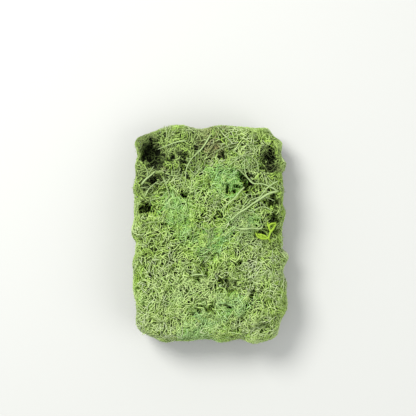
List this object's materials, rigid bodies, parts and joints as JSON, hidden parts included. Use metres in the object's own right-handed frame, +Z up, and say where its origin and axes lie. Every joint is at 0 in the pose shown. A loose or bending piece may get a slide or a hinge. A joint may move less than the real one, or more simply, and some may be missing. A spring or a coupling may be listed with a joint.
{
  "type": "reindeer moss clump",
  "caption": "Cushion of springy, finely forked reindeer lichen tufts in mixed greens, for decoration and model scenery; lies flat on its underside.",
  "frame": {"origin": "centre of the clump's outline, on the surface that it lies on", "axes": "+Z up from the surface, +Y along the clump, and +X to the right with +Y up the page, seen from above"},
  "size_m": [0.1136, 0.1602, 0.0486],
  "materials": {
    "mint_green": "matt, dry and finely branched",
    "leaf_green": "matt, dry and finely branched",
    "yellow_green": "matt, dry and finely branched",
    "olive_green": "matt, dry and finely branched",
    "pale_green": "matt, dry and finely branched",
    "lime_green": "matt, slightly waxy"
  },
  "bodies": {
    "root": {"corner_tuft_low": "olive_green", "open_tuft_top_left": "leaf_green", "olive_tuft_top": "olive_green", "pale_tuft_top_right": "pale_green", "olive_tuft_right_edge": "olive_green", "olive_tuft_left_shoulder": "olive_green", "leaf_tuft_shoulder": "leaf_green", "mint_tuft_upper": "mint_green", "pale_tuft_right_shoulder": "pale_green", "mint_tuft_left": "mint_green", "leaf_tuft_centre": "leaf_green", "mint_tuft_right": "mint_green", "olive_tuft_left_edge": "olive_green", "mint_tuft_centre": "mint_green", "dark_tuft_right_edge": "olive_green", "olive_tuft_right": "pale_green", "yellow_tuft_left": "yellow_green", "yellow_tuft_centre": "yellow_green", "mint_tuft_low_right": "leaf_green", "pale_tuft_bottom_left": "pale_green", "mint_tuft_bottom": "mint_green", "pale_tuft_bottom_right": "pale_green", "lime_sprig": "lime_green"}
  },
  "joints": []
}
